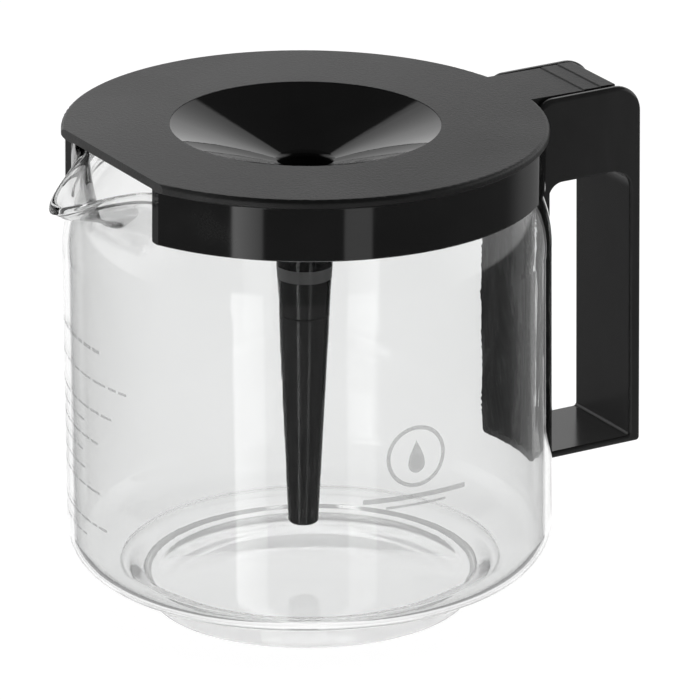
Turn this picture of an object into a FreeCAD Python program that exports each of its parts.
import FreeCAD, Part
import math
import os

# Glass coffee jug with a hinged funnel lid and a bonded handle.
# Millimetres.  Origin: centre of the foot ring, on the table.  +Z up,
# the handle points along +X and the pouring spout along -X.

Vec = FreeCAD.Vector

# ---- driving dimensions -------------------------------------------------
BODY_RADIUS = 67.5          # outside of the straight glass wall
GLASS_WALL = 2.3
RIM_TOP = 133.4             # highest point of the glass rim
RIM_ROUND = 2.0             # height of the fire-polished rounding
SHOULDER_START = 102.5      # height where the wall starts to turn inwards
SHOULDER_RADIUS = 32.0
SHOULDER_TURN = 32.0        # degrees that the shoulder turns
NECK_BLEND = 4.0            # outside radius of the turn back into the neck
NECK_TOP = 129.4            # height where the neck flares into the rim
BEAD_RADIUS = 63.4          # outside of the fire-polished rim

FOOT_RADIUS = 45.5
FOOT_EDGE = 1.5             # rounding of the foot ring
FOOT_LAND = 1.0             # width of the flat that stands on the table
FOOT_TOP = 6.4              # height where the foot leaves the sloping base
FOOT_FLARE = 1.3            # hollow rounding between foot and base
DOME_RISE = 4.4             # the underside is domed by this much inside the foot
FLOOR_THICKNESS = 3.0
CORNER_RADIUS = 11.0        # outside radius between wall and base
CORNER_TURN = 70.0          # degrees that the corner turns
FLOOR_RING_RADIUS = 53.0    # ring where the sloping base meets the floor
FLOOR_RING_RISE = 1.7
FLOOR_BLEND = 3.0           # width of the blend from that ring into the floor

SPOUT_REACH = 79.5          # distance of the spout lip from the axis
SPOUT_WALL = 2.2
SPOUT_ROOT_X = -60.0
# half width, depth of its edges below the rim, height of its underside
SPOUT_ROOT = (17.5, 0.6, 117.0)
SPOUT_MIDDLE = (11.0, 1.8, 120.2)
SPOUT_LIP = (5.4, 5.6, 123.2)

LID_TOP = 135.7             # drawn level
LID_RADIUS = 67.0
LID_THICKNESS = 2.5
SKIRT_RADIUS = 66.0
SKIRT_WALL = 1.3
SKIRT_BOTTOM = 118.1
CHORD_X = -60.5             # straight cut of the lid over the spout
LID_SHIFT = 0.3             # the lid's own centre lies this far towards the spout
LID_AJAR = 1.0              # degrees that the lid stands open, resting on the rim by the hinge

FUNNEL_RADIUS = 37.3
FUNNEL_WALL = 1.5
THROAT_RADIUS = 8.2
THROAT_TOP = 125.5
THROAT_BORE = 7.2
THROAT_ROUND = 2.2          # height of the rounded edge from the throat into the bore
THROAT_SHELF = 108.5        # here the bore narrows to the one that holds the tube
BOSS_RADIUS = 7.8
BOSS_WIDE = 8.8             # outside of the boss round the throat
BOSS_STEP = 104.0           # height where the boss starts to widen
BOSS_BOTTOM = 95.2
BOSS_BORE = 6.3

TUBE_TOP = 107.0
TUBE_TIP = 19.4
TUBE_TIP_RADIUS = 4.25
TUBE_TIP_BORE = 2.8
TUBE_BORE = 5.0
TUBE_RING = 80.5            # height of the fine ring groove

HANDLE_WIDTH = 29.6
HANDLE_ROOT = 60.0          # drawn from here, then cut back to the glass
HANDLE_BACK = 99.1
HANDLE_TOP = 135.8
HANDLE_BOTTOM = 29.7
CHEEK_FRONT = 65.9          # front edge of the two cheeks
CHEEK_ROUND = 5.0
BACK_ROUND = 8.0
EDGE_ROUND = 1.25           # rounding of the outer side edges
INNER_ROUND = 0.8           # rounding of the edges of the opening and inside the cheeks
CHEEK = 2.6                 # wall of the two hinge cheeks
SPINE = 3.6                 # wall of the grip
SHELF = 2.1                 # wall of the bottom shelf
WEB = 2.2                   # wall over the finger opening
PLATE = 2.5                 # wall of the curved plate that is bonded on
PLATE_TOP = 116.0
OPENING_TOP = 111.2
OPENING_FRONT_ROUND = 4.4
OPENING_BACK_ROUND = 5.6
BOND = 0.7                  # silicone between glass and plate
BOND_HALF_WIDTH = 15.0

HINGE_X = 86.0
HINGE_Z = 125.0
PIN_RADIUS = 2.4
PIN_CLEARANCE = 0.05
PIN_REACH = 1.5             # how far a pin enters its cheek
TAB_GAP = 0.6               # gap between thumb tab and cheek
TAB_BACK = 93.5
TAB_GROOVES = (82.2, 87.5)  # the two grooves before the ribs
TAB_CORNER = 2.5            # rounding of the tab's two rear corners, seen from above
EAR = 2.6                   # wall of the two ears under the tab
EAR_RADIUS = 5.2

SAGITTA = 1 - math.sqrt(0.5)   # how far a quarter circle's middle lies from its corner, per radius


# ---- helpers ------------------------------------------------------------
def point(radius, height):
    """A point of a profile in the XZ plane."""
    return Vec(radius, 0, height)


def on_arc(centre, radius, degrees):
    """A profile point on a circle, measured from +X towards +Z."""
    angle = math.radians(degrees)
    return point(centre.x + radius * math.cos(angle), centre.z + radius * math.sin(angle))


def outline(start, steps):
    """A closed face from lines (end,) and three-point arcs (middle, end)."""
    edges = []
    here = start
    for step in steps:
        if len(step) == 1:
            edges.append(Part.LineSegment(here, step[0]).toShape())
        else:
            edges.append(Part.Arc(here, step[0], step[1]).toShape())
        here = step[-1]
    if here.distanceToPoint(start) > 1e-6:
        edges.append(Part.LineSegment(here, start).toShape())
    return Part.Face(Part.Wire(edges))


def turned(face):
    """The body of revolution of a profile about Z."""
    return face.revolve(Vec(0, 0, 0), Vec(0, 0, 1), 360)


def across(face, half_width):
    """A side-view face, thickened both ways along Y."""
    solid = face.extrude(Vec(0, 2 * half_width, 0))
    solid.translate(Vec(0, -half_width, 0))
    return solid


def block(x0, x1, y0, y1, z0, z1):
    return Part.makeBox(x1 - x0, y1 - y0, z1 - z0, Vec(x0, y0, z0))


def rod(radius, x, z, y0, y1):
    """A round bar along Y."""
    return Part.makeCylinder(radius, y1 - y0, Vec(x, y0, z), Vec(0, 1, 0))


def column(radius, z0, z1):
    """A round bar on the jug's axis."""
    return Part.makeCylinder(radius, z1 - z0, Vec(0, 0, z0))


def round_edges(solid, radius, wanted):
    """Fillet the edges whose middle point passes the test."""
    chosen = []
    for edge in solid.Edges:
        middle = edge.valueAt((edge.FirstParameter + edge.LastParameter) / 2)
        if wanted(middle):
            chosen.append(edge)
    return solid.makeFillet(radius, chosen)


def near(value, target):
    return abs(value - target) < 0.02


# ---- glass --------------------------------------------------------------
def jug_wall():
    """The turned jug: foot ring, base, wall, shoulder, neck and bead."""
    corner = point(BODY_RADIUS - CORNER_RADIUS, 0)
    base_run = BODY_RADIUS - CORNER_RADIUS * (1 - math.cos(math.radians(CORNER_TURN)))
    step_x = FOOT_RADIUS + FOOT_FLARE
    slope = math.tan(math.radians(90 - CORNER_TURN))
    base_z = FOOT_TOP + (base_run - step_x) * slope
    corner.z = base_z + CORNER_RADIUS * math.sin(math.radians(CORNER_TURN))
    inner_corner = CORNER_RADIUS - GLASS_WALL
    shoulder = point(BODY_RADIUS - SHOULDER_RADIUS, SHOULDER_START)
    inner_shoulder = SHOULDER_RADIUS - GLASS_WALL
    turn_end = on_arc(shoulder, SHOULDER_RADIUS, SHOULDER_TURN)
    blend = on_arc(turn_end, NECK_BLEND, SHOULDER_TURN)
    inner_blend = NECK_BLEND + GLASS_WALL
    neck = blend.x - NECK_BLEND
    floor_z = FOOT_TOP + FLOOR_THICKNESS
    ring_z = floor_z + FLOOR_RING_RISE
    half_corner = -CORNER_TURN / 2
    half_turn = SHOULDER_TURN / 2
    half_back = 180 + SHOULDER_TURN / 2
    land_in = FOOT_RADIUS - FOOT_EDGE - FOOT_LAND
    edge_mid = FOOT_EDGE * SAGITTA
    flare_mid = FOOT_FLARE * SAGITTA
    dome = (land_in ** 2 + DOME_RISE ** 2) / (2 * DOME_RISE)
    dome_mid = math.sqrt(dome ** 2 - (land_in / 2) ** 2) - (dome - DOME_RISE)
    face = outline(point(0, DOME_RISE), [
        (point(land_in / 2, dome_mid), point(land_in, 0)),
        (point(land_in + FOOT_LAND, 0),),
        (point(FOOT_RADIUS - edge_mid, edge_mid), point(FOOT_RADIUS, FOOT_EDGE)),
        (point(FOOT_RADIUS, FOOT_TOP - FOOT_FLARE),),
        (point(FOOT_RADIUS + flare_mid, FOOT_TOP - flare_mid), point(step_x, FOOT_TOP)),
        (on_arc(corner, CORNER_RADIUS, -CORNER_TURN),),
        (on_arc(corner, CORNER_RADIUS, half_corner), point(BODY_RADIUS, corner.z)),
        (point(BODY_RADIUS, SHOULDER_START),),
        (on_arc(shoulder, SHOULDER_RADIUS, half_turn), turn_end),
        (on_arc(blend, NECK_BLEND, half_back), point(neck, blend.z)),
        (point(neck, NECK_TOP),),
        (point(neck + 0.4, NECK_TOP + 1.2), point(BEAD_RADIUS, RIM_TOP - RIM_ROUND)),
        (point(neck - 0.4, RIM_TOP), point(neck - GLASS_WALL, RIM_TOP - RIM_ROUND)),
        (point(neck - GLASS_WALL, blend.z),),
        (on_arc(blend, inner_blend, half_back), on_arc(shoulder, inner_shoulder, SHOULDER_TURN)),
        (on_arc(shoulder, inner_shoulder, half_turn), point(BODY_RADIUS - GLASS_WALL, SHOULDER_START)),
        (point(BODY_RADIUS - GLASS_WALL, corner.z),),
        (on_arc(corner, inner_corner, half_corner), on_arc(corner, inner_corner, -CORNER_TURN)),
        (point(FLOOR_RING_RADIUS, ring_z),),
        (point(FLOOR_RING_RADIUS - 0.4 * FLOOR_BLEND, floor_z + 0.3 * FLOOR_RING_RISE),
         point(FLOOR_RING_RADIUS - FLOOR_BLEND, floor_z)),
        (point(0, floor_z),),
    ])
    return turned(face), neck - GLASS_WALL


def trough(sections):
    """A smooth solid through U-shaped sections (x, half width, top, bottom)."""
    wires = []
    for x, half, top, bottom in sections:
        left = Vec(x, -half, top)
        right = Vec(x, half, top)
        bowl = Part.Arc(left, Vec(x, 0, bottom), right).toShape()
        lid = Part.LineSegment(right, left).toShape()
        wires.append(Part.Wire([bowl, lid]))
    return Part.makeLoft(wires, True, False)


def spout_sections(inset, lift, start, end):
    """Sections of the spout from its root in the neck out to the lip."""
    places = (start, (SPOUT_ROOT_X - SPOUT_REACH) / 2, end)
    sections = []
    for x, (half, depth, bottom) in zip(places, (SPOUT_ROOT, SPOUT_MIDDLE, SPOUT_LIP)):
        sections.append((x, half - inset, RIM_TOP - depth + lift, bottom + inset))
    return sections


def glass_jug():
    wall, neck_inside = jug_wall()
    open_top = 4.0
    beyond = 1.5
    overlap = 3.0
    outside = trough(spout_sections(0, 0, SPOUT_ROOT_X, -SPOUT_REACH))
    inside = trough(spout_sections(SPOUT_WALL, open_top, SPOUT_ROOT_X + overlap, -SPOUT_REACH - beyond))
    hollow = column(neck_inside, SPOUT_ROOT[2] - 5, RIM_TOP + 1)
    return wall.fuse(outside.cut(hollow)).cut(inside).removeSplitter()


# ---- handle -------------------------------------------------------------
def silicone_adhesive():
    """The pad of silicone that bonds the plate on, squeezed out past its sides."""
    ring = column(BODY_RADIUS + BOND, HANDLE_BOTTOM + 0.8, SHOULDER_START)
    ring = ring.cut(column(BODY_RADIUS, HANDLE_BOTTOM, SHOULDER_START + 1))
    half = BOND_HALF_WIDTH
    return ring.common(block(0, BODY_RADIUS + 2, -half, half, 0, SHOULDER_START + 1))


def handle_body():
    half = HANDLE_WIDTH / 2
    low = HANDLE_BOTTOM
    high = HANDLE_TOP
    back = HANDLE_BACK
    heel = 1.2
    side = outline(point(HANDLE_ROOT, low), [
        (point(back - heel, low),),
        (point(back - heel * SAGITTA, low + heel * SAGITTA), point(back, low + heel)),
        (point(back, high - BACK_ROUND),),
        (on_arc(point(back - BACK_ROUND, high - BACK_ROUND), BACK_ROUND, 45),
         point(back - BACK_ROUND, high)),
        (point(CHEEK_FRONT + CHEEK_ROUND, high),),
        (on_arc(point(CHEEK_FRONT + CHEEK_ROUND, high - CHEEK_ROUND), CHEEK_ROUND, 135),
         point(CHEEK_FRONT, high - CHEEK_ROUND)),
        (point(CHEEK_FRONT, PLATE_TOP),),
        (point(HANDLE_ROOT, PLATE_TOP),),
    ])
    body = across(side, half)
    body = round_edges(body, EDGE_ROUND, lambda m: near(abs(m.y), half) and m.x > CHEEK_FRONT + 0.2)
    grip = back - SPINE
    rear = point(grip - OPENING_BACK_ROUND, OPENING_TOP - OPENING_BACK_ROUND)
    small = 1.0
    front = math.sqrt((BODY_RADIUS + BOND + PLATE) ** 2 - half ** 2)
    fore = point(front + OPENING_FRONT_ROUND, OPENING_TOP - OPENING_FRONT_ROUND)
    hole = outline(point(HANDLE_ROOT, low + SHELF), [
        (point(grip - small, low + SHELF),),
        (on_arc(point(grip - small, low + SHELF + small), small, -45), point(grip, low + SHELF + small)),
        (point(grip, rear.z),),
        (on_arc(rear, OPENING_BACK_ROUND, 45), point(rear.x, OPENING_TOP)),
        (point(fore.x, OPENING_TOP),),
        (on_arc(fore, OPENING_FRONT_ROUND, 135), point(front, fore.z)),
        (point(HANDLE_ROOT, fore.z),),
    ])
    plate = column(BODY_RADIUS + BOND + PLATE, low, OPENING_TOP + 1)
    body = body.cut(across(hole, half + 1).cut(plate))
    inside = half - CHEEK
    body = body.cut(block(BODY_RADIUS + BOND + PLATE, back + 1, -inside, inside, OPENING_TOP + WEB, high + 1))
    body = body.cut(block(HANDLE_ROOT, back + 1, -inside, inside, PLATE_TOP, high + 1))
    body = body.cut(column(BODY_RADIUS + BOND, low - 1, high + 1))
    body = round_edges(body, INNER_ROUND,
                       lambda m: near(abs(m.y), inside) and m.z > high - BACK_ROUND and m.x < back - 1)
    body = round_edges(body, INNER_ROUND,
                       lambda m: near(abs(m.y), half) and m.z > low + SHELF + small and m.z < OPENING_TOP + 0.1
                       and m.x > front + 0.1 and m.x < grip + 0.1)
    reach = inside + PIN_REACH + 0.25
    body = body.cut(rod(PIN_RADIUS + PIN_CLEARANCE, HINGE_X, HINGE_Z, -reach, reach))
    return body


# ---- lid ----------------------------------------------------------------
# The three pieces are drawn level about the lid's own axis; settle() puts them in place.
PIN_X = HINGE_X + LID_SHIFT


def settle(shape):
    """Moves a piece of the lid onto the hinge and opens it by the rest angle."""
    shape.translate(Vec(-LID_SHIFT, 0, 0))
    shape.rotate(Vec(HINGE_X, 0, HINGE_Z), Vec(0, 1, 0), LID_AJAR)
    return shape


def thumb_tab(half):
    """The tab: flat, then two low ribs with a groove before each, and a round end."""
    underside = LID_TOP - LID_THICKNESS
    root = LID_RADIUS - 17
    first, second = TAB_GROOVES
    side = outline(point(root, underside), [
        (point(root, LID_TOP),),
        (point(first - 0.3, LID_TOP),),
        (point(first, LID_TOP - 0.4),),
        (point(first + 0.3, LID_TOP + 0.2),),
        (point(second - 0.3, LID_TOP + 0.2),),
        (point(second, LID_TOP - 0.2),),
        (point(second + 0.3, LID_TOP + 0.4),),
        (point(TAB_BACK - 1.8, LID_TOP + 0.3),),
        (point(TAB_BACK - 0.5, LID_TOP - 0.2), point(TAB_BACK, LID_TOP - 1.3)),
        (point(TAB_BACK, underside),),
    ])
    tab = across(side, half).cut(column(LID_RADIUS - 5, 0, LID_TOP + 2))
    corner = half - TAB_CORNER
    stem = block(root, TAB_BACK - TAB_CORNER, -half, half, underside, LID_TOP + 1)
    plan = stem.fuse(block(root, TAB_BACK, -corner, corner, underside, LID_TOP + 1))
    for y in (-corner, corner):
        place = Vec(TAB_BACK - TAB_CORNER, y, underside)
        plan = plan.fuse(Part.makeCylinder(TAB_CORNER, LID_THICKNESS + 1, place))
    return tab.common(plan)


def lid_cover():
    half = HANDLE_WIDTH / 2 - CHEEK - TAB_GAP
    underside = LID_TOP - LID_THICKNESS
    seat = FUNNEL_RADIUS - 1.5
    ledge = LID_TOP - 1.3
    edge = 1.2
    edge_mid = edge * SAGITTA
    inner_skirt = SKIRT_RADIUS - SKIRT_WALL
    disc = turned(outline(point(seat, underside), [
        (point(inner_skirt, underside),),
        (point(inner_skirt, SKIRT_BOTTOM + 0.3),),
        (point(inner_skirt + 0.3, SKIRT_BOTTOM),),
        (point(SKIRT_RADIUS - 0.3, SKIRT_BOTTOM),),
        (point(SKIRT_RADIUS, SKIRT_BOTTOM + 0.3),),
        (point(SKIRT_RADIUS, underside - 0.3),),
        (point(LID_RADIUS - 0.4, underside),),
        (point(LID_RADIUS, underside + 0.4),),
        (point(LID_RADIUS, LID_TOP - edge),),
        (point(LID_RADIUS - edge_mid, LID_TOP - edge_mid), point(LID_RADIUS - edge, LID_TOP)),
        (point(FUNNEL_RADIUS, LID_TOP),),
        (point(FUNNEL_RADIUS, ledge),),
        (point(seat, ledge),),
    ]))
    disc = disc.cut(block(-100, CHORD_X, -100, 100, 0, LID_TOP + 1))
    cover = disc.fuse(thumb_tab(half))
    rail_front = LID_RADIUS + 1.0
    for side in (-1, 1):
        y0, y1 = sorted((side * half, side * (half - EAR)))
        rail = block(rail_front, TAB_BACK - TAB_CORNER, y0, y1, underside - 3.2, underside)
        ear = rod(EAR_RADIUS, PIN_X, HINGE_Z, y0, y1)
        neck = block(PIN_X - EAR_RADIUS, PIN_X + EAR_RADIUS, y0, y1, HINGE_Z, underside)
        p0, p1 = sorted((side * (half - EAR), side * (half + TAB_GAP + PIN_REACH)))
        pin = rod(PIN_RADIUS, PIN_X, HINGE_Z, p0, p1)
        cover = cover.fuse([rail, ear, neck, pin])
    return settle(cover.removeSplitter())


def funnel():
    """The polished cone that the coffee drips into, with the boss for the tube."""
    rim = FUNNEL_RADIUS - 0.05
    ledge = LID_TOP - 1.3
    top = LID_TOP - 0.2
    fall = (top - THROAT_TOP) / (rim - THROAT_RADIUS)
    tilt = math.atan(fall)
    drop = FUNNEL_WALL / math.cos(tilt)
    seat = FUNNEL_RADIUS - 1.7
    under_seat = top - (rim - seat) * fall - drop
    under_boss = top - (rim - BOSS_WIDE) * fall - drop
    step = BOSS_WIDE - BOSS_RADIUS
    narrow = THROAT_BORE - BOSS_BORE
    face = outline(point(rim, ledge), [
        (point(rim, top),),
        (point(THROAT_RADIUS, THROAT_TOP),),
        (point(THROAT_BORE + 0.27, THROAT_TOP - 0.75), point(THROAT_BORE, THROAT_TOP - THROAT_ROUND)),
        (point(THROAT_BORE, THROAT_SHELF + narrow),),
        (point(BOSS_BORE, THROAT_SHELF),),
        (point(BOSS_BORE, BOSS_BOTTOM),),
        (point(BOSS_RADIUS, BOSS_BOTTOM),),
        (point(BOSS_RADIUS, BOSS_STEP),),
        (point(BOSS_WIDE, BOSS_STEP + 2 * step),),
        (point(BOSS_WIDE, under_boss),),
        (point(seat, under_seat),),
        (point(seat, ledge),),
    ])
    return settle(turned(face))


def mixing_tube():
    """The tapered tube that carries fresh coffee down to the floor of the jug."""
    joint = BOSS_BOTTOM
    spigot = BOSS_BORE - 0.02
    top_radius = BOSS_RADIUS - 0.1
    ring_share = (joint - TUBE_RING) / (joint - TUBE_TIP)
    ring_radius = top_radius + (TUBE_TIP_RADIUS - top_radius) * ring_share
    tip_round = 1.1
    tip_mid = tip_round * SAGITTA
    face = outline(point(TUBE_BORE, TUBE_TOP), [
        (point(spigot, TUBE_TOP),),
        (point(spigot, joint),),
        (point(top_radius, joint),),
        (point(ring_radius, TUBE_RING + 0.25),),
        (point(ring_radius - 0.25, TUBE_RING),),
        (point(ring_radius, TUBE_RING - 0.25),),
        (point(TUBE_TIP_RADIUS, TUBE_TIP + tip_round),),
        (point(TUBE_TIP_RADIUS - tip_mid, TUBE_TIP + tip_mid), point(TUBE_TIP_RADIUS - tip_round, TUBE_TIP)),
        (point(TUBE_TIP_BORE, TUBE_TIP),),
    ])
    return settle(turned(face))


# ---- output -------------------------------------------------------------
NODES = {
    "glass_jug": glass_jug,
    "silicone_adhesive": silicone_adhesive,
    "handle_body": handle_body,
    "lid_cover": lid_cover,
    "funnel": funnel,
    "mixing_tube": mixing_tube,
}

os.makedirs("parts", exist_ok=True)
for name, make in NODES.items():
    shape = make()
    shape.exportStep("parts/" + name + ".step")
    volume = round(shape.Volume / 1000, 2)
    print(name, "solids", len(shape.Solids), "valid", shape.isValid(), "volume", volume)
